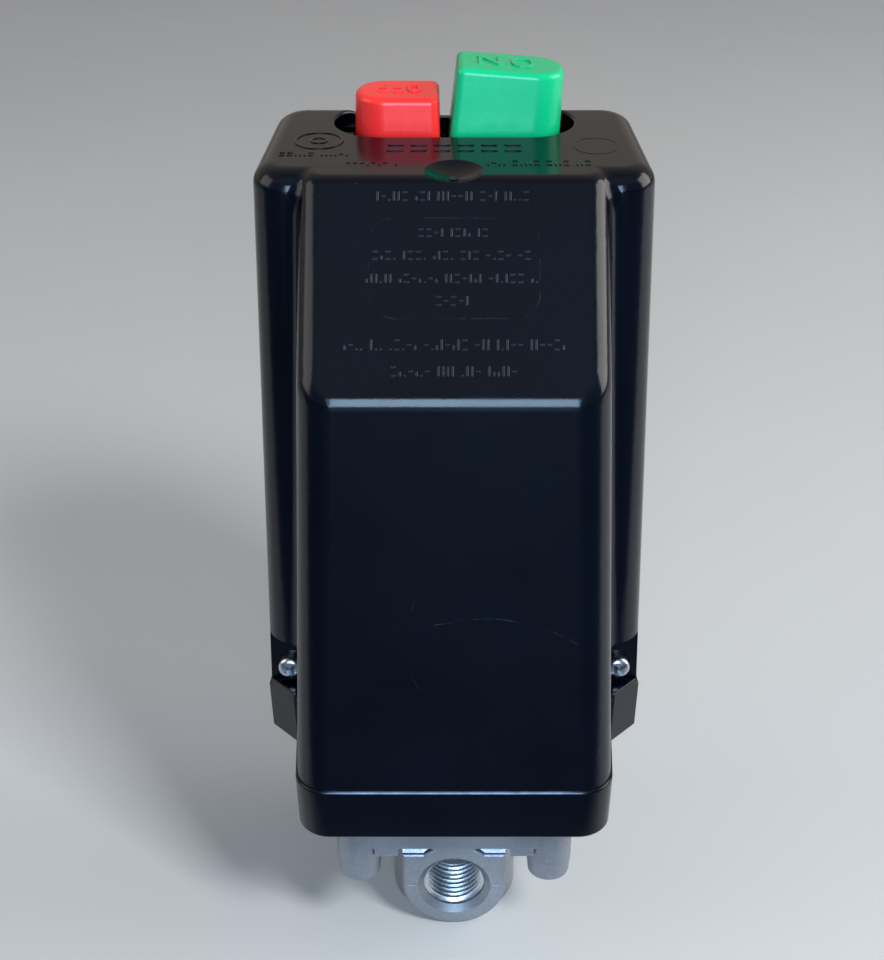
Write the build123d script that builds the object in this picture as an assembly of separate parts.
from build123d import *
import math
import os

# Pressure switch with motor starter. Millimetres, +Z up, +X to the right, -Y to the front.
# Origin: centre of the flat underside of the pressure base's hub.

# ---- dimensions shared by several pieces ----
SIDES = (-1, 1)                        # left, right
TRAY_Z0, TRAY_Z1 = 35.9, 48.2          # lower and upper rim of the tray
COVER_TOP = 166.6                      # flat top of the cover
CORNER_R = 6.5                         # vertical corner radius
# Outlines at TRAY_Z1 (LOW) and COVER_TOP (HIGH): half widths and y of the front and back
MAIN_LOW = dict(half_front=40.1, half_back=36.8, front=-6.9, back=33.0)
MAIN_HIGH = dict(half_front=37.6, front=-6.2, back=31.2)
BULGE_LOW = dict(half_front=31.4, half_back=33.2, front=-37.2)
BULGE_HIGH = dict(half_front=26.6, front=-35.3)
SCREW_X, SCREW_Z = 35.1, 53.1          # cover screws
LUG_X, LUG_FRONT, LUG_BACK = 20.0, -26.8, 3.5
LUGS = [(side * LUG_X, y) for side in SIDES for y in (LUG_FRONT, LUG_BACK)]
CABLES = [(side * 26.0, 20.4) for side in SIDES]      # cable entries in the tray floor
PRESSURE_Y = -11.65                    # axis of diaphragm, piston and range spring
DIFF_Y = 2.6                           # axis of the differential spring
PIVOT_Y, PIVOT_Z = 4.6, 52.0           # main lever pivot
PIN_R, PIN_HOLE_R = 2.0, 2.05          # pivot pins and their holes
FLANGE_TOP = 38.5                      # top of the cast base
DIAPHRAGM_Z0 = 37.3
FRAME_Z0, FRAME_Z1 = 41.0, 42.5        # frame's base plate
BRIDGE_TOP = 112.0                     # frame's top bridge
EARTH_Y = -27.5
POLE_X = (-17.0, 0.0, 17.0)
WIRES = ((-20.0, 80.0), (17.4, 88.0), (21.0, 78.0))   # x, z of each wire's ends
TO_FRONT, TO_BACK = Rot(90, 0, 0), Rot(-90, 0, 0)     # turn +Z to -Y, and to +Y
UPWARD = (Align.CENTER, Align.CENTER, Align.MIN)
DOWNWARD = (Align.CENTER, Align.CENTER, Align.MAX)


# ---- shape helpers ----
def block(x0, x1, y0, y1, z0, z1):
    middle = Pos((x0 + x1) / 2, (y0 + y1) / 2, (z0 + z1) / 2)
    return middle * Box(abs(x1 - x0), abs(y1 - y0), abs(z1 - z0))


def blocks(*rows):
    """Union of blocks, each row x0, x1, y0, y1, z0, z1."""
    joined = block(*rows[0])
    for row in rows[1:]:
        joined = joined + block(*row)
    return joined


def post(x, y, z0, z1, radius):
    return Pos(x, y, (z0 + z1) / 2) * Cylinder(radius, z1 - z0)


def rod_y(x, z, y0, y1, radius):
    return Pos(x, (y0 + y1) / 2, z) * Rot(90, 0, 0) * Cylinder(radius, abs(y1 - y0))


def rod_x(y, z, x0, x1, radius):
    return Pos((x0 + x1) / 2, y, z) * Rot(0, 90, 0) * Cylinder(radius, abs(x1 - x0))


def polygon(points):
    return make_face(Polyline(*points, close=True))


def tube(path, radius, is_frenet=False):
    profile = Plane(origin=path @ 0, z_dir=path % 0) * Circle(radius)
    return sweep(profile, path=path, is_frenet=is_frenet)


def pick(shape, test):
    """Edges whose centre and bounding box pass the test."""
    return [e for e in shape.edges() if test(e.center(), e.bounding_box())]


def soften(shape, edges, *radii):
    """Round the edges with the first radius that the shape can take."""
    for radius in radii:
        # guards against fillets that the kernel can't build; the next radius is then tried
        try:
            rounded = fillet(edges, radius)
            if rounded.volume > 0 and all(s.is_valid for s in rounded.solids()):
                return rounded
        except Exception:
            pass
    return shape


def cross_screw(head_d, head_h, shank_r, length, slot_w=1.0):
    """Pan head screw pointing down, head underside at z = 0."""
    head = Cylinder(head_d / 2, head_h, align=UPWARD)
    head = fillet(head.edges().sort_by(Axis.Z)[-1:], head_h * 0.55)
    for angle in (0, 90):
        slot = Pos(0, 0, head_h) * Box(head_d * 0.62, slot_w, head_h * 1.1)
        head = head - Rot(0, 0, angle) * slot
    return head + Cylinder(shank_r, length, align=DOWNWARD)


def slot_screw(head_d, head_h, shank_r, length):
    """Flat slotted screw pointing down, head underside at z = 0."""
    head = Cylinder(head_d / 2, head_h, align=UPWARD)
    head = head - Pos(0, 0, head_h) * Box(head_d + 1, 0.9, head_h)
    return head + Cylinder(shank_r, length, align=DOWNWARD)


# ---- housing cover ----
COVER_WALL, TOP_SKIN = 1.9, 2.0
SLOPE_Y0, SLOPE_Z0 = -35.9, 135.6      # front edge of the sloped panel
SLOPE_Y1 = -7.5                        # where the slope meets the flat top
SLOPE_RADII = (4.8, 3.2, 2.6, 2.0, 1.2)
TOP_RADII = (4.0, 3.5, 3.0, 2.0, 1.0)
MAIN_TAPER, BULGE_TAPER = 0.083, 0.053  # plan taper per side
DIMPLE_Y = -4.6                        # dimple in the top
SLOT_X, SLOT_Y, SLOT_R = 23.2, 21.9, 8.9  # button slot: half length, centre line, end radius
NOTCH_TOP = 62.2                       # screw notches
NOTCH_X = 31.5                         # inner side of the screw notches


def measure_at(z, key, low, high):
    return low[key] + (high[key] - low[key]) * (z - TRAY_Z1) / (COVER_TOP - TRAY_Z1)


def main_points(z, inset):
    half_front = measure_at(z, "half_front", MAIN_LOW, MAIN_HIGH) - inset
    front = measure_at(z, "front", MAIN_LOW, MAIN_HIGH) + inset
    back = measure_at(z, "back", MAIN_LOW, MAIN_HIGH) - inset
    half_back = half_front - MAIN_TAPER * (back - front)
    return [(-half_front, front), (half_front, front), (half_back, back), (-half_back, back)]


def bulge_points(z, inset, back):
    half_front = measure_at(z, "half_front", BULGE_LOW, BULGE_HIGH) - inset
    front = measure_at(z, "front", BULGE_LOW, BULGE_HIGH) + inset
    half_back = half_front + BULGE_TAPER * (back - front)
    return [(-half_front, front), (half_front, front), (half_back, back), (-half_back, back)]


def loft_outlines(*levels):
    return loft([Pos(0, 0, z) * polygon(points) for z, points in levels], ruled=True)


def round_uprights(shape, radius, y_max=1e9):
    edges = pick(shape, lambda mid, box: box.size.Z > 40 and box.size.Y < 6 and mid.Y < y_max)
    return soften(shape, edges, radius, radius * 0.8, radius * 0.5)


def main_solid(z0, z1, inset, radius):
    box = loft_outlines((z0, main_points(z0, inset)), (z1, main_points(z1, inset)))
    return round_uprights(box, radius)


def above_slope(inset):
    """Everything above the sloped panel, moved inwards."""
    angle = math.atan2(COVER_TOP - SLOPE_Z0, SLOPE_Y1 - SLOPE_Y0)
    dy, dz = math.sin(angle) * inset, -math.cos(angle) * inset
    reach = 40                         # the cut runs on past both ends of the slope
    rise = reach * math.tan(angle)
    front = (SLOPE_Y0 - reach + dy, SLOPE_Z0 - rise + dz)
    back = (SLOPE_Y1 + reach + dy, COVER_TOP + rise + dz)
    wedge = polygon([front, back, (front[0], back[1])])
    return Pos(-60, 0, 0) * extrude(Plane.YZ * wedge, 120)


def bulge_solid(z0, z1, inset, radius, slope_radii=(), back=6.0):
    raised = z1 + 8                    # built too tall, then cut flat at z1
    bulge = loft_outlines((z0, bulge_points(z0, inset, back)),
                          (raised, bulge_points(raised, inset, back)))
    bulge = round_uprights(bulge - above_slope(inset), radius, y_max=-20)
    if slope_radii:
        rims = pick(bulge, lambda mid, box: box.min.Z > SLOPE_Z0 - 12 and box.size.Z < 45
                    and mid.Z < z1 + 7.9 and box.min.Y < back - 0.1)
        bulge = soften(bulge, rims, *slope_radii)
    bulge = bulge - block(-60, 60, -60, 60, z1, z1 + 40)
    if slope_radii:
        top = pick(bulge, lambda mid, box: box.min.Z > z1 - 0.01 and box.min.Y < back - 0.1)
        bulge = soften(bulge, top, 3.0, 2.5, 2.0, 1.5)
    return bulge


def housing_cover():
    outer = main_solid(TRAY_Z1, COVER_TOP, 0, CORNER_R)
    top = pick(outer, lambda mid, box: abs(mid.Z - COVER_TOP) < 0.01 and box.size.Z < 0.01)
    outer = soften(outer, top, *TOP_RADII)
    outer = outer + bulge_solid(TRAY_Z1, COVER_TOP, 0, CORNER_R, SLOPE_RADII, back=-2.6)
    # concave seams between the bulge and the main box
    seams = pick(outer, lambda mid, box: abs(mid.Y + 6.6) < 1.6 and 26 < abs(mid.X) < 34
                 and box.size.Z > 40)
    outer = soften(outer, seams, 3.0, 2.0, 1.0)
    cavity = (TRAY_Z1 - 1, COVER_TOP - TOP_SKIN, COVER_WALL, CORNER_R - COVER_WALL)
    shell = outer - (main_solid(*cavity) + bulge_solid(*cavity))
    # solid lower front corners, then the screw notches cut into them
    for side in SIDES:
        corner = block(side * 29.2, side * 45, -12, 1.0, TRAY_Z1, NOTCH_TOP + 2)
        shell = shell + (outer & corner)
    for side in SIDES:
        notch = block(side * NOTCH_X, side * 46, -7.6, -1.6, TRAY_Z1 - 1, NOTCH_TOP)
        notch = fillet(pick(notch, lambda mid, box: abs(mid.Z - NOTCH_TOP) < 0.01
                            and abs(abs(mid.X) - NOTCH_X) < 0.01), 2.6)
        shell = shell - notch
        shell = shell - block(side * 33.35, side * 46, -16, -7.5, TRAY_Z1 - 1, NOTCH_TOP)
        shell = shell - rod_y(side * SCREW_X, SCREW_Z, -3, 6, 1.9)
    # button slot in the top
    slot_place = Pos(0, SLOT_Y, COVER_TOP - TOP_SKIN - 0.05)
    shell = shell - extrude(slot_place * SlotOverall(2 * SLOT_X, 2 * SLOT_R), 30)
    rim = pick(shell, lambda mid, box: abs(mid.Z - COVER_TOP) < 0.02 and box.size.Z < 0.02
               and SLOT_Y - SLOT_R - 0.1 < box.min.Y
               and abs(box.max.X) < SLOT_X + 0.1 and abs(box.min.X) < SLOT_X + 0.1)
    shell = soften(shell, rim, 0.7, 0.5, 0.3)
    # round dimple at the front of the top, with a small disc in it
    shell = shell - Pos(0, DIMPLE_Y, COVER_TOP + 9.0) * Sphere(10.55)
    return shell + Pos(0, DIMPLE_Y, COVER_TOP - 1.62) * Cylinder(0.9, 0.5)


# ---- base tray ----
TRAY_PROUD = 0.45                      # tray's upper rim stands this far outside the cover
TRAY_DRAFT = 0.35                      # the lower rim is this much further in
TRAY_WALL = 2.6
TRAY_FLOOR_Z0, TRAY_FLOOR_Z1 = 38.5, 41.0
FRONT_CHAMFER, CHAMFER_LOSS = 6.2, 0.586  # front corner chamfer, and its loss per mm of inset


def tray_faces(z, inset, radius):
    """Main and bulge outlines of the tray at height z."""
    drop = (TRAY_Z1 - z) / (TRAY_Z1 - TRAY_Z0)
    proud = TRAY_PROUD - TRAY_DRAFT * drop - inset
    half_front, half_back = MAIN_LOW["half_front"] + proud, MAIN_LOW["half_back"] + proud
    front, back = MAIN_LOW["front"] - proud, MAIN_LOW["back"] + proud
    main = polygon([(-half_front, front), (half_front, front),
                    (half_back, back), (-half_back, back)])
    main = chamfer(main.vertices().sort_by(Axis.Y)[:2], FRONT_CHAMFER - CHAMFER_LOSS * inset)
    main = fillet(main.vertices().sort_by(Axis.Y)[-2:], radius)
    half_front, half_back = BULGE_LOW["half_front"] + proud, BULGE_LOW["half_back"] + proud
    front = BULGE_LOW["front"] - proud
    bulge = polygon([(-half_front, front), (half_front, front), (half_back, -3.0),
                     (half_back, 6.0), (-half_back, 6.0), (-half_back, -3.0)])
    bulge = fillet(bulge.vertices().sort_by(Axis.Y)[:2], radius)
    return Pos(0, 0, z) * main, Pos(0, 0, z) * bulge


def tray_solid(z0, z1, inset, radius):
    main0, bulge0 = tray_faces(z0, inset, radius)
    main1, bulge1 = tray_faces(z1, inset, radius)
    return loft([main0, main1], ruled=True) + loft([bulge0, bulge1], ruled=True)


def base_tray():
    tray = tray_solid(TRAY_Z0, TRAY_Z1, 0, CORNER_R + 0.2)
    seams = pick(tray, lambda mid, box: abs(mid.Y + 7.2) < 1.0 and 28 < abs(mid.X) < 36
                 and box.size.Z > 10)
    tray = soften(tray, seams, 3.0, 2.0, 1.0)
    rims = pick(tray, lambda mid, box: box.size.Z < 0.01
                and (abs(mid.Z - TRAY_Z1) < 0.01 or abs(mid.Z - TRAY_Z0) < 0.01))
    tray = soften(tray, rims, 0.55, 0.4, 0.25)
    # hollows below and above the floor
    tray = (tray - tray_solid(TRAY_Z0 - 1, TRAY_FLOOR_Z0, TRAY_WALL, 4.0)
            - tray_solid(TRAY_FLOOR_Z1, TRAY_Z1 + 1, TRAY_WALL, 4.0))
    # locating lip inside the cover's rim, left out round the screw notches
    lip = (tray_solid(TRAY_Z1 - 4, TRAY_Z1 - 0.6, 2.3, 4.0)
           + tray_solid(TRAY_Z1 - 2, TRAY_Z1 + 2.0, 2.75, 3.6)
           - tray_solid(TRAY_Z1 - 5, TRAY_Z1 + 3, 4.2, 2.4))
    for side in SIDES:
        lip = lip - block(side * 27.5, side * 46, -20, 3, TRAY_Z1 - 6, TRAY_Z1 + 4)
    tray = tray + lip
    # solid corners that close the floor of the screw notches
    corner_top = 49.6
    for side in SIDES:
        corner = (tray_solid(TRAY_Z1 - 3.5, corner_top, 0.02, CORNER_R)
                  & block(side * 33.7, side * 46, -12, -1.9, TRAY_Z1 - 3.6, corner_top))
        tray = tray + soften(corner, corner.edges().group_by(Axis.Z)[-1], 0.5, 0.3)
    # screw pillars for the cover
    for side in SIDES:
        tray = tray + block(side * 31.0, side * 36.5, 1.6, 7.0, 39.0, 58.0)
        tray = tray - rod_y(side * SCREW_X, SCREW_Z, 0, 8.0, 1.3)
    # floor openings
    tray = tray - post(0, PRESSURE_Y, 30, 50, 16.0)
    for x, y in CABLES:
        tray = tray - post(x, y, 30, 50, 8.2)
    for x, y in LUGS:
        tray = tray - post(x, y, 30, 50, 2.2)
    return tray


def cover_screws():
    return [Pos(side * SCREW_X, -1.65, SCREW_Z) * TO_FRONT * Rot(0, 0, 38 * side)
            * cross_screw(head_d=5.3, head_h=2.1, shank_r=1.25, length=8.0, slot_w=0.9)
            for side in SIDES]


# ---- cast pressure base ----
PORT_Z, PORT_FACE_Y = 11.1, -25.0      # pressure port axis height and face
PORT_R, PORT_MOUTH_R, PORT_DEPTH = 6.58, 7.9, 15.0    # G1/4 major radius, countersink, depth
PORT_BOSS_R = 11.1
HUB_R, HUB_Y, HUB_TOP = 13.4, 10.0, 34.5  # end radius, half distance of end centres, top
LUG_R, LUG_Z, LUG_CONE = 4.7, 17.2, 5.5   # lug radius, lower end, height of its conical foot
PLATE_Z0, SKIRT_Z0 = 34.0, 27.0


def lug_rectangle(z0, height, narrower, radius):
    """Rounded rectangle round the four lugs, less the given amount in both directions."""
    width = 2 * (LUG_X + LUG_R) - narrower
    depth = LUG_BACK - LUG_FRONT + 2 * LUG_R - narrower
    place = Pos(0, (LUG_FRONT + LUG_BACK) / 2, z0)
    return extrude(place * RectangleRounded(width, depth, radius), height)


def cast_lug(x, y):
    cone_top = LUG_Z + LUG_CONE
    lug = (post(x, y, cone_top, FLANGE_TOP, LUG_R)
           + Pos(x, y, LUG_Z) * Cone(LUG_R - 0.5, LUG_R, LUG_CONE, align=UPWARD))
    lug = soften(lug, pick(lug, lambda mid, box: abs(mid.Z - cone_top) < 0.01), 6.0, 3.0)
    return chamfer(lug.edges().sort_by(Axis.Z)[:1], 1.4)


def flange_casting():
    hub = extrude(Rot(0, 0, 90) * SlotCenterToCenter(2 * HUB_Y, 2 * HUB_R), HUB_TOP)
    hub = soften(hub, hub.edges().group_by(Axis.Z)[0], 1.2, 0.8)
    boss = (block(-PORT_BOSS_R, PORT_BOSS_R, PORT_FACE_Y, 0, PORT_Z, PORT_Z + 8.9)
            + rod_y(0, PORT_Z, PORT_FACE_Y, 0, PORT_BOSS_R))
    face_rim = pick(boss, lambda mid, box: abs(mid.Y - PORT_FACE_Y) < 0.01)
    boss = soften(boss, face_rim, 0.8, 0.5)
    plate = lug_rectangle(PLATE_Z0, FLANGE_TOP - PLATE_Z0, 0, LUG_R - 0.05)
    skirt = lug_rectangle(SKIRT_Z0, PLATE_Z0 - SKIRT_Z0, 1.4, LUG_R - 0.75)
    skirt = skirt - lug_rectangle(SKIRT_Z0 - 1, 8.0, 7, 2.0)
    casting = hub + boss + plate + skirt
    for x, y in LUGS:
        casting = casting + cast_lug(x, y)
        # web from the hub to the lug
        angle = math.degrees(math.atan2(y + 2.0, x))
        web_place = Pos(x * 0.62, y * 0.62 - 1.0, 29.0) * Rot(0, 0, angle)
        casting = casting + extrude(web_place * Rectangle(22, 2.6), 5.5)
    # front rib from the port boss up to the plate, with a brow that widens upwards
    casting = casting + block(-8.6, 8.6, -28.6, -12, SKIRT_Z0, HUB_TOP)
    brow = polygon([(-3, 18.8), (3, 18.8), (3, 20.0), (10, 26.6),
                    (10, 30), (-10, 30), (-10, 26.6), (-3, 20.0)])      # x, z
    casting = casting + extrude(Plane.XZ.offset(12) * brow, 13.0)
    # sloped shoulder across the top of the boss, and small blocks at the front
    shoulder = polygon([(-24.7, 19.4), (-21.4, 25.2), (-15, 25.2), (-15, 19.4)])  # y, z
    casting = casting + Pos(-11, 0, 0) * extrude(Plane.YZ * shoulder, 22.0)
    for side in SIDES:
        casting = casting + block(side * 11.8, side * 16.6, -30.7, -26.0, 24.9, 28.0)
    # stepped chamber, port, channel and screw holes
    casting = (casting - post(0, PRESSURE_Y, DIAPHRAGM_Z0, 39, 18.1)
               - post(0, PRESSURE_Y, 35.8, 38, 14.0))
    casting = casting - rod_y(0, PORT_Z, PORT_FACE_Y - 1, PORT_FACE_Y + PORT_DEPTH, PORT_R)
    mouth = Cone(PORT_MOUTH_R, PORT_R, 1.2, align=UPWARD)
    casting = casting - Pos(0, PORT_FACE_Y, PORT_Z) * TO_BACK * mouth
    casting = casting - post(0, PRESSURE_Y, PORT_Z, 37, 2.5)
    for x, y in LUGS:
        casting = casting - post(x, y, 26, 39, 1.75)
    return casting


def diaphragm():
    return post(0, PRESSURE_Y, DIAPHRAGM_Z0, FLANGE_TOP, 18.0)


def diaphragm_piston():
    disc_top = 40.2
    piston = (post(0, PRESSURE_Y, FLANGE_TOP, disc_top, 12.5)
              + post(0, PRESSURE_Y, disc_top, 50.6, 5.0))
    return fillet(piston.edges().sort_by(Axis.Z)[-1:], 0.8)


# ---- steel mechanism frame and main lever ----
CHEEK_X0, CHEEK_X1 = 14.0, 15.5        # inner and outer face of the upright cheeks
CHEEK_FRONT, CHEEK_BACK = -19, 7.8
DIFF_BRIDGE_Z0, DIFF_BRIDGE_Z1 = 88.0, 89.5
RANGE_SCREW_R, DIFF_SCREW_R = 3.0, 2.0
SCREW_GAP = 0.05                       # radial gap round the adjusting screws


def mechanism_frame():
    frame = block(-24, 24, -31.2, CHEEK_BACK, FRAME_Z0, FRAME_Z1)
    frame = frame - post(0, PRESSURE_Y, 40, 44, 6.2) - post(0, EARTH_Y, 40, 44, 1.6)
    for side in SIDES:
        frame = frame + block(side * CHEEK_X0, side * CHEEK_X1, CHEEK_FRONT, CHEEK_BACK,
                              FRAME_Z1, BRIDGE_TOP)
        frame = frame - block(side * 13.9, side * 15.6, -13.0, -9.0, 60, 98)
        frame = frame - rod_x(PIVOT_Y, PIVOT_Z, side * 13, side * 17, PIN_HOLE_R)
    frame = frame + block(-CHEEK_X1, CHEEK_X1, CHEEK_FRONT, -4, BRIDGE_TOP - 2, BRIDGE_TOP)
    frame = frame - post(0, PRESSURE_Y, BRIDGE_TOP - 3, BRIDGE_TOP + 1,
                         RANGE_SCREW_R + SCREW_GAP)
    # rear bridge of the differential spring
    frame = frame + block(-CHEEK_X1, CHEEK_X1, -1.0, CHEEK_BACK, DIFF_BRIDGE_Z0, DIFF_BRIDGE_Z1)
    frame = frame - post(0, DIFF_Y, 87, 91, DIFF_SCREW_R + SCREW_GAP)
    for x, y in LUGS:
        frame = frame - post(x, y, 40, 44, 2.1)
    return frame


def frame_screws():
    return [Pos(x, y, FRAME_Z1) * cross_screw(head_d=6.2, head_h=2.2, shank_r=1.65, length=15.0)
            for x, y in LUGS]


LEVER_Z0, LEVER_Z1 = 51.0, 52.6
LEVER_X, EAR_TOP = 13.0, 55.0          # half width, top of the pivot ears


def main_lever():
    lever = blocks((-LEVER_X, LEVER_X, -19.5, 1.4, LEVER_Z0, LEVER_Z1),
                   (-5.0, 5.0, -30.0, -19.5, LEVER_Z0, LEVER_Z1))
    for side in SIDES:
        lever = lever + block(side * 11.6, side * LEVER_X, -6, 7.4, 49.6, EAR_TOP)
        lever = lever - rod_x(PIVOT_Y, PIVOT_Z, side * 11, side * 14, PIN_HOLE_R)
    return lever + post(0, PRESSURE_Y, LEVER_Z1, 53.8, 3.6)


def lever_pin():
    return fillet(rod_x(PIVOT_Y, PIVOT_Z, -16.6, 16.6, PIN_R).edges(), 0.4)


# ---- springs and adjusting screws ----
RANGE_NUT_TOP, RANGE_NUT_H = 104.0, 3.0
DIFF_NUT_Z0, DIFF_NUT_Z1 = 78.0, 80.0
STRAP_TOP = 56.2


def coil(radius, wire_r, z0, z1, turns, y):
    height = z1 - z0 - 2 * wire_r
    path = Helix(pitch=height / turns, height=height, radius=radius)
    return Pos(0, y, z0 + wire_r) * tube(path, wire_r, is_frenet=True)


def range_spring():
    return coil(radius=7.2, wire_r=1.2, z0=LEVER_Z1, z1=RANGE_NUT_TOP - RANGE_NUT_H,
                turns=8.5, y=PRESSURE_Y)


def range_nut():
    z0 = RANGE_NUT_TOP - RANGE_NUT_H
    nut = (block(-13.4, 13.4, PRESSURE_Y - 6.2, PRESSURE_Y + 6.2, z0, RANGE_NUT_TOP)
           + post(0, PRESSURE_Y, z0 - 3.0, z0, 5.7))
    return nut - post(0, PRESSURE_Y, RANGE_NUT_TOP - 10, RANGE_NUT_TOP + 2,
                      RANGE_SCREW_R + SCREW_GAP)


def range_screw():
    screw = (extrude(Pos(0, PRESSURE_Y, BRIDGE_TOP) * RegularPolygon(5.2, 6), 4.0)
             + post(0, PRESSURE_Y, 78.0, BRIDGE_TOP, RANGE_SCREW_R)
             + post(0, PRESSURE_Y, BRIDGE_TOP, BRIDGE_TOP + 0.6, 6.0))
    return screw - block(-6, 6, PRESSURE_Y - 0.6, PRESSURE_Y + 0.6,
                         BRIDGE_TOP + 2.6, BRIDGE_TOP + 5)


def differential_spring():
    return coil(radius=3.6, wire_r=0.6, z0=STRAP_TOP, z1=DIFF_NUT_Z0, turns=7.5, y=DIFF_Y)


def differential_nut():
    nut = (block(-6.0, 6.0, DIFF_Y - 3.8, DIFF_Y + 3.8, DIFF_NUT_Z0, DIFF_NUT_Z1)
           + post(0, DIFF_Y, DIFF_NUT_Z0 - 2, DIFF_NUT_Z0, 2.7))
    return nut - post(0, DIFF_Y, 75, 81, DIFF_SCREW_R + SCREW_GAP)


def differential_screw():
    screw = (post(0, DIFF_Y, 66.0, DIFF_BRIDGE_Z1, DIFF_SCREW_R)
             + extrude(Pos(0, DIFF_Y, DIFF_BRIDGE_Z1) * RegularPolygon(3.6, 6), 3.0))
    return screw - block(-5, 5, DIFF_Y - 0.4, DIFF_Y + 0.4, 91.3, 93)


def spring_strap():
    """Strap that carries the differential spring on the lever's ears."""
    strap = block(-LEVER_X, LEVER_X, DIFF_Y - 4, DIFF_Y + 4, EAR_TOP, STRAP_TOP)
    return strap - post(0, PIVOT_Y, 54, 57, 0.9)


# ---- contact block in the bulge ----
CONTACT_Y0, CONTACT_Y1, CONTACT_Z0, CONTACT_Z1 = -33.6, -21.5, 62.0, 98.0
TERMINAL_Z = (66.4, 93.6)              # lower and upper terminal screws
TERMINAL_HOLE_R = 1.65
CONTACT_PITCH, CONTACT_R = 4.2, 1.1    # contact buttons beside each pole's centre
PAD_FRONT, PAD_BACK = -34.6, -33.8     # terminal strips on the block's face
BAR_Y0, BAR_Y1 = -27.2, -24.8          # contact carrier
BACK = Pos(0, 1.0, 0)                  # the whole group stands this much further back


def contact_block():
    body = block(-26.0, 26.0, CONTACT_Y0, CONTACT_Y1, CONTACT_Z0, CONTACT_Z1)
    body = fillet(body.edges().filter_by(Axis.Z), 1.5)
    for x in POLE_X:
        # arc chamber of one pole, open to the front
        body = body - block(x - 6.2, x + 6.2, CONTACT_Y0 - 1, CONTACT_Y1 - 2.0, 71.0, 89.0)
    # channels for the carrier's bar and stems
    body = body - block(-28.0, 22.0, -27.6, -24.4, CONTACT_Z0 - 1, CONTACT_Z0 + 6.0)
    for x in POLE_X:
        body = body - block(x - 2.2, x + 2.2, -28.0, -24.0, CONTACT_Z0 - 1, 72.0)
        for z in TERMINAL_Z:
            body = body - rod_y(x, z, CONTACT_Y0 - 1, -29.0, TERMINAL_HOLE_R)
    for side in SIDES:
        body = body + block(side * 8.5, side * 13.5, -32.0, -28.6, FRAME_Z1, CONTACT_Z0)
    body = BACK * body
    # blind wire holes in the rear wall
    for x, z in WIRES:
        body = body - rod_y(x, z, -21.9, -20.0, 1.15)
    return body


def contact_carrier():
    """Bottom bar with three stems and a foot."""
    bar_z0, bar_z1 = 59.2, 63.6
    carrier = block(-21.0, 21.0, BAR_Y0, BAR_Y1, bar_z0, bar_z1)
    for x in POLE_X:
        carrier = carrier + block(x - 1.8, x + 1.8, BAR_Y0, BAR_Y1, bar_z1, 74.2)
    return BACK * (carrier + block(-3.0, 3.0, BAR_Y0, BAR_Y1, 54.6, bar_z0))


def start_link():
    """Strip that lifts the carrier when the start button is pressed."""
    return blocks((-27.0, -21.0, -26.0, -24.0, 59.4, 60.4),
                  (-27.0, -26.3, -26.0, -23.0, 59.4, 101.5),
                  (-27.0, -26.3, -26.0, 4.0, 100.0, 101.5),
                  (-27.0, -26.3, 1.0, 4.0, 100.0, 141.75),
                  (-27.0, -9.0, 1.0, 4.0, 140.95, 141.75),
                  (-12.5, -9.0, 1.0, 20.0, 140.95, 141.75))


def moving_contacts():
    return [BACK * (block(x - 5.4, x + 5.4, -28.4, -23.9, 74.2, 75.2)
                    + post(x - CONTACT_PITCH, -26.4, 75.2, 76.0, CONTACT_R)
                    + post(x + CONTACT_PITCH, -26.4, 75.2, 76.0, CONTACT_R))
            for x in POLE_X]


def fixed_contacts():
    """Angled strips: contact arm over the bridge, riser and terminal pad."""
    arm_z0, arm_z1, half_width = 80.6, 81.6, 1.6
    # side, riser z0 and z1, pad z0 and z1, terminal screw z
    strips = ((-1, arm_z1, 88.6, 88.6, 97.6, TERMINAL_Z[1]),
              (1, 71.4, arm_z0, 62.4, 71.4, TERMINAL_Z[0]))
    contacts = []
    for x in POLE_X:
        for side, riser_z0, riser_z1, pad_z0, pad_z1, screw_z in strips:
            arm_x = x + side * CONTACT_PITCH
            x0, x1 = arm_x - half_width, arm_x + half_width
            strip = (block(x0, x1, -29.0, -24.0, arm_z0, arm_z1)
                     + post(arm_x, -26.4, 79.9, arm_z0, CONTACT_R)
                     + block(x0, x1, PAD_FRONT, -29.0, arm_z0, arm_z1)
                     + block(x0, x1, PAD_FRONT, PAD_BACK, riser_z0, riser_z1)
                     + block(arm_x + side * half_width, x - side * 5.0,
                             PAD_FRONT, PAD_BACK, pad_z0, pad_z1))
            contacts.append(BACK * (strip - rod_y(x, screw_z, -36, -33, TERMINAL_HOLE_R)))
    return contacts


def terminal_screws():
    return [BACK * Pos(x, PAD_FRONT, z) * TO_FRONT
            * slot_screw(head_d=5.0, head_h=0.45, shank_r=1.5, length=5.4)
            for x in POLE_X for z in TERMINAL_Z]


# ---- overload release behind the frame ----
OVERLOAD_Y0, OVERLOAD_Y1, OVERLOAD_Z0, OVERLOAD_Z1 = 9.6, 28.0, 62.0, 128.0
DIAL_X, DIAL_Y = 15.5, 15.5
LOAD_Z, LOAD_PLATE = 66.0, 0.8         # load terminals: screw height, plate thickness


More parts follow.
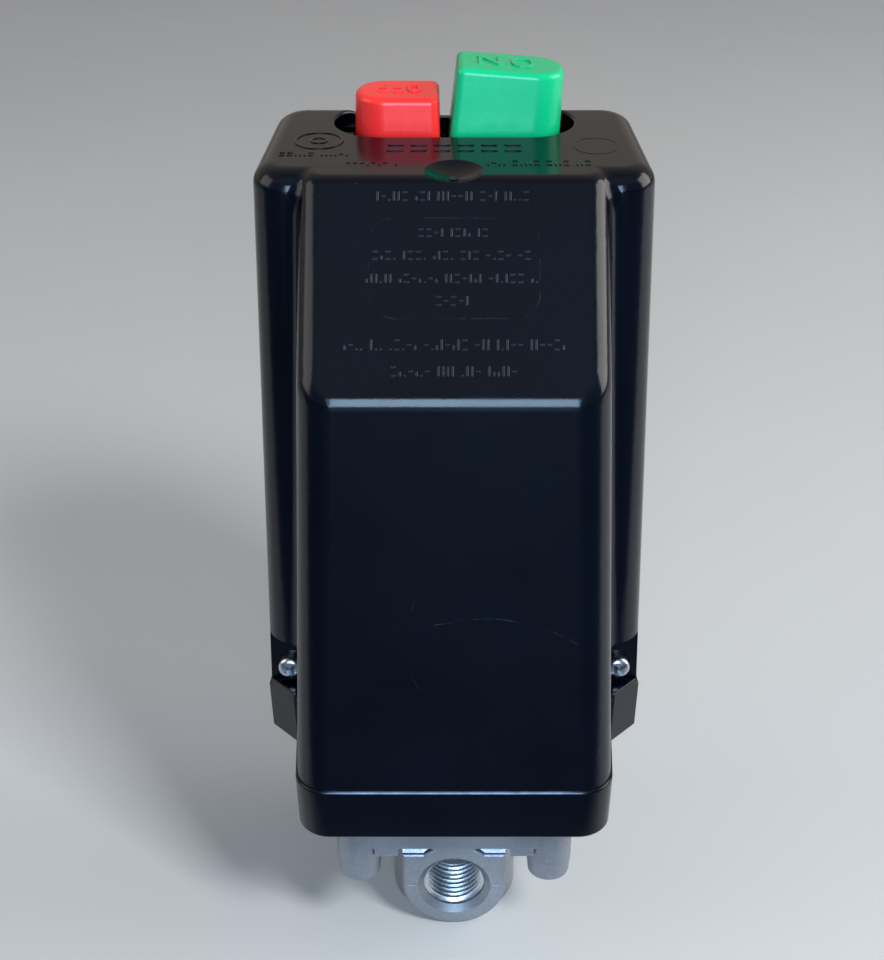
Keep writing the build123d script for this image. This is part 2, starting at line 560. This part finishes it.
def overload_block():
    body = block(-27.0, 27.0, OVERLOAD_Y0, OVERLOAD_Y1, OVERLOAD_Z0, OVERLOAD_Z1)
    body = fillet(body.edges().filter_by(Axis.Z), 1.5)
    for x in POLE_X:
        body = body - block(x - 6.0, x + 6.0, OVERLOAD_Y0 + 2.0, OVERLOAD_Y1 + 1, 70.0, 120.0)
    # trip slide channel, dial bore and terminal holes
    body = body - block(-30.0, 30.0, 14.0, 19.2, 112.0, 116.4)
    body = body - post(DIAL_X, DIAL_Y, 120.0, 130, 4.1)
    for x in POLE_X:
        body = body - rod_y(x, LOAD_Z, 18, OVERLOAD_Y1 + 1, TERMINAL_HOLE_R)
    # legs down to the tray floor
    for side in SIDES:
        for z0, z1 in ((TRAY_FLOOR_Z1, OVERLOAD_Z0), (OVERLOAD_Z0, 70.0)):
            body = body + block(side * 19.0, side * 27.0, 8.8, 11.2, z0, z1)
    for x, z in WIRES:
        body = body - rod_y(x, z, 9.0, 11.2, 1.15)
    return body


def pole_wires():
    return [tube(Spline((x, -21.8, z), (x, -6.0, z - 5.0), (x, 11.1, z),
                        tangents=((0, 1, 0), (0, 1, 0))), 1.05)
            for x, z in WIRES]


def bimetals():
    return [block(x - 2.5, x + 2.5, 20.4, 21.4, 70.0, 111.0) for x in POLE_X]


def heater_coils():
    """Square sleeve with five raised bands round each bimetal."""
    coils = []
    for x in POLE_X:
        sleeve = (block(x - 3.6, x + 3.6, 19.5, 22.3, 78.0, 98.0)
                  - block(x - 2.55, x + 2.55, 20.3, 21.5, 77, 99))
        for i in range(5):
            z = 79.5 + 4 * i
            sleeve = sleeve + (block(x - 4.0, x + 4.0, 19.1, 22.7, z, z + 1.2)
                               - block(x - 3.2, x + 3.2, 19.9, 21.9, z - 0.1, z + 1.3))
        coils.append(sleeve)
    return coils


def trip_slide():
    z0, z1 = 112.2, 116.2
    slide = block(-28.5, 30.0, 14.4, 18.8, z0, z1)
    for x in POLE_X:
        slide = slide + block(x + 3.4, x + 5.0, 18.8, 22.6, 106.0, z1)
        slide = slide + block(x + 3.4, x + 5.0, 17.0, 18.8, z0, z1)
    return slide


def current_dial():
    dial = (post(DIAL_X, DIAL_Y, 120.4, 128.6, 4.0)
            + post(DIAL_X, DIAL_Y, 128.4, 130.4, 5.2))
    return dial - block(DIAL_X - 6, DIAL_X + 6, DIAL_Y - 0.6, DIAL_Y + 0.6, 129.4, 131)


def load_terminals():
    return [block(x - 4.0, x + 4.0, OVERLOAD_Y1, OVERLOAD_Y1 + LOAD_PLATE, 62.6, 69.8)
            - rod_y(x, LOAD_Z, 26, 30, TERMINAL_HOLE_R) for x in POLE_X]


def load_screws():
    return [Pos(x, OVERLOAD_Y1 + LOAD_PLATE, LOAD_Z) * TO_BACK
            * slot_screw(head_d=5.0, head_h=1.2, shank_r=1.5, length=8.0) for x in POLE_X]


# ---- buttons, guide and rocker ----
GUIDE_Y0, GUIDE_Y1, GUIDE_Z0, GUIDE_Z1 = 11.0, 28.0, 150.0, 162.0
BUTTON_Y0, BUTTON_Y1 = 14.2, 26.9
RED_X0, RED_X1, RED_TOP = -19.3, -2.45, COVER_TOP + 6.8
GREEN_X0, GREEN_X1, GREEN_TOP = -2.0, 19.35, COVER_TOP + 12.0
GREEN_X = (GREEN_X0 + GREEN_X1) / 2
STEM_Y0, STEM_Y1 = 16.5, 24.5
STEM_HOLE_Y = (STEM_Y0 - 0.4, STEM_Y1 + 0.4)
GREEN_TILT_Z = 151.0                   # the green button leans right about this height
TILT = Pos(GREEN_X, 0, GREEN_TILT_Z) * Rot(0, 4.4, 0) * Pos(-GREEN_X, 0, -GREEN_TILT_Z)
ROCKER_X, ROCKER_Z, ROCKER_ARM = -0.8, 141.0, 10.2
BUTTON_TRAVEL = 4.0


def d_button(x0, x1, z0, z1, y1, round_left, draft, end_r, top_r):
    """Drafted D-shaped button with one round end."""
    faces = []
    for z, inset in ((z0, 0.0), (z1, math.tan(math.radians(draft)) * (z1 - z0))):
        left, right, front, back = x0 + inset, x1 - inset, BUTTON_Y0 + inset, y1 - inset
        face = polygon([(left, front), (right, front), (right, back), (left, back)])
        corners = face.vertices().sort_by(Axis.X)
        face = fillet(corners[:2] if round_left else corners[2:], end_r - inset)
        square_x = right if round_left else left
        square = [v for v in face.vertices() if abs(v.X - square_x) < 0.01
                  and min(abs(v.Y - front), abs(v.Y - back)) < 0.01]
        faces.append(Pos(0, 0, z) * fillet(square, 1.6))
    body = loft(faces, ruled=True)
    return soften(body, body.faces().sort_by(Axis.Z)[-1].edges(), top_r, 1.0, 0.6)


def stroke(x0, y0, x1, y1, width):
    length = math.hypot(x1 - x0, y1 - y0)
    angle = math.degrees(math.atan2(y1 - y0, x1 - x0))
    place = Pos((x0 + x1) / 2, (y0 + y1) / 2, 0.2) * Rot(0, 0, angle)
    return place * Box(length + width, width, 0.5)


def letter_o(x, width, height, line):
    hole = width - 2 * line
    ring = extrude(Pos(x, 0, -0.05) * RectangleRounded(width, height, width * 0.42), 0.5)
    return ring - extrude(Pos(x, 0, -0.1)
                          * RectangleRounded(hole, height - 2 * line, hole * 0.4), 0.7)


def letter_n(x, width, height, line):
    a, b = width / 2 - line / 2, height / 2 - line / 2
    return (stroke(x - a, -b, x - a, b, line) + stroke(x + a, -b, x + a, b, line)
            + stroke(x - a, b, x + a, -b, line))


def letter_f(x, width, height, line):
    a, b = width / 2 - line / 2, height / 2 - line / 2
    return (stroke(x - a, -b, x - a, b, line) + stroke(x - a, b, x + a, b, line)
            + stroke(x - a, 0, x + a * 0.6, 0, line))


def off_button():
    button = d_button(RED_X0, RED_X1, GUIDE_Z1 - 3.8, RED_TOP, BUTTON_Y1,
                      round_left=True, draft=1.75, end_r=6.1, top_r=1.3)
    button = button + block(-15.5, -6.5, STEM_Y0, STEM_Y1, 142.2, GUIDE_Z1 - 3.0)
    # raised letters, read from behind
    text = (letter_o(-2.95, 2.5, 3.8, 0.6) + letter_f(0.1, 2.1, 3.8, 0.6)
            + letter_f(3.0, 2.1, 3.8, 0.6))
    place = Pos(-10.6, (BUTTON_Y0 + BUTTON_Y1) / 2, RED_TOP - 0.15) * Rot(0, 0, 180)
    return button + place * text


def on_button():
    button = d_button(GREEN_X0 - 0.1, GREEN_X1 + 0.1, GUIDE_Z1 + 0.5, GREEN_TOP,
                      BUTTON_Y1 + 0.3, round_left=False, draft=2.0, end_r=5.9, top_r=1.2)
    button = button + block(GREEN_X - 4.6, GREEN_X + 4.6, STEM_Y0, STEM_Y1,
                            145.25, GUIDE_Z1 + 1.0)
    text = letter_o(-3.2, 4.4, 4.8, 0.75) + letter_n(3.1, 4.4, 4.8, 0.75)
    place = Pos(GREEN_X - 0.9, (BUTTON_Y0 + BUTTON_Y1) / 2 + 0.2, GREEN_TOP - 0.15)
    return TILT * button + TILT * (place * Rot(0, 0, 180) * text)


def button_guide():
    guide = block(-27.5, 27.5, GUIDE_Y0, GUIDE_Y1, GUIDE_Z0, GUIDE_Z1)
    guide = fillet(guide.edges().filter_by(Axis.Z), 2.0)
    guide = guide - block(-25.5, 25.5, 13.0, 26.6, GUIDE_Z0 - 1, GUIDE_Z1 - 9.5)
    for side in SIDES:
        guide = guide + block(side * 23.5, side * 27.0, GUIDE_Y0, GUIDE_Y1,
                              OVERLOAD_Z1, GUIDE_Z0)
    # stem holes
    guide = guide - block(-15.9, -6.1, *STEM_HOLE_Y, GUIDE_Z0 - 10, GUIDE_Z1 + 6.5)
    guide = guide - TILT * block(GREEN_X - 5.0, GREEN_X + 5.0, *STEM_HOLE_Y,
                                 GUIDE_Z0 - 14, GUIDE_Z1 + 12.5)
    # sinks in the top so that the button skirts can go down
    sink_y = (BUTTON_Y0 - 0.5, BUTTON_Y1 + 2)
    guide = guide - block(RED_X0 - 0.5, RED_X1 + 0.5, *sink_y, GUIDE_Z1 - 4.5, GUIDE_Z1 + 4)
    guide = guide - TILT * block(GREEN_X0 - 0.7, GREEN_X1 + 0.7, *sink_y,
                                 GUIDE_Z1 - 4.3, GUIDE_Z1 + 8)
    # ears for the rocker pin
    for y0, y1 in ((GUIDE_Y0, 13.6), (26.4, GUIDE_Y1)):
        guide = guide + block(ROCKER_X - 4.0, ROCKER_X + 4.0, y0, y1,
                              ROCKER_Z - 4.0, GUIDE_Z0 + 1)
    return guide - rod_y(ROCKER_X, ROCKER_Z, 9, 30, PIN_HOLE_R)


def rocker_pin():
    return fillet(rod_y(ROCKER_X, ROCKER_Z, 10.4, 28.4, PIN_R).edges(), 0.4)


def button_rocker():
    angle = math.degrees(math.asin(BUTTON_TRAVEL / 2 / ROCKER_ARM))
    half = 1.3                         # half thickness of the arms
    rocker = rod_y(ROCKER_X, ROCKER_Z, 14.2, 25.8, 3.6)
    for side in SIDES:
        tip = ROCKER_X + side * ROCKER_ARM
        rocker = (rocker + block(ROCKER_X, tip, 16.0, 25.0, ROCKER_Z - half, ROCKER_Z + half)
                  + rod_y(tip, ROCKER_Z, 16.0, 25.0, half))
    rocker = rocker - rod_y(ROCKER_X, ROCKER_Z, 10, 30, PIN_HOLE_R)
    return (Pos(ROCKER_X, 0, ROCKER_Z) * Rot(0, -angle, 0) * Pos(-ROCKER_X, 0, -ROCKER_Z)
            * rocker)


# ---- cable grommets and earth terminal ----
def cable_grommets():
    z0, z1 = 36.6, 43.0
    return [post(x, y, z0, z1, 8.15) + post(x, y, TRAY_FLOOR_Z1, z1, 8.6)
            + post(x, y, z0, TRAY_FLOOR_Z0, 9.0) - post(x, y, 30, 50, 4.6)
            for x, y in CABLES]


CLAMP_TOP = 43.3


def earth_clamp():
    return (block(-4.0, 4.0, -30.6, -24.4, FRAME_Z1, CLAMP_TOP)
            - post(0, EARTH_Y, 41, 45, 1.75))


def earth_screw():
    return Pos(0, EARTH_Y, CLAMP_TOP) * slot_screw(head_d=5.6, head_h=1.6, shank_r=1.5, length=2.0)


# Each file takes the name of the function that builds the piece.
PIECES = (
    housing_cover, base_tray, cover_screws, flange_casting, diaphragm, diaphragm_piston,
    mechanism_frame, frame_screws, main_lever, lever_pin, range_spring, range_nut, range_screw,
    differential_spring, differential_nut, differential_screw, spring_strap, contact_block,
    contact_carrier, start_link, moving_contacts, fixed_contacts, terminal_screws,
    overload_block, pole_wires, bimetals, heater_coils, trip_slide, current_dial,
    load_terminals, load_screws, off_button, on_button, button_guide, rocker_pin,
    button_rocker, cable_grommets, earth_clamp, earth_screw,
)

os.makedirs("parts", exist_ok=True)
for build in PIECES:
    built = build()
    shapes = built if isinstance(built, list) else [built]
    solids = [solid for shape in shapes for solid in shape.solids()]
    piece = Compound(solids) if len(solids) > 1 else solids[0]
    export_step(piece, os.path.join("parts", build.__name__ + ".step"))
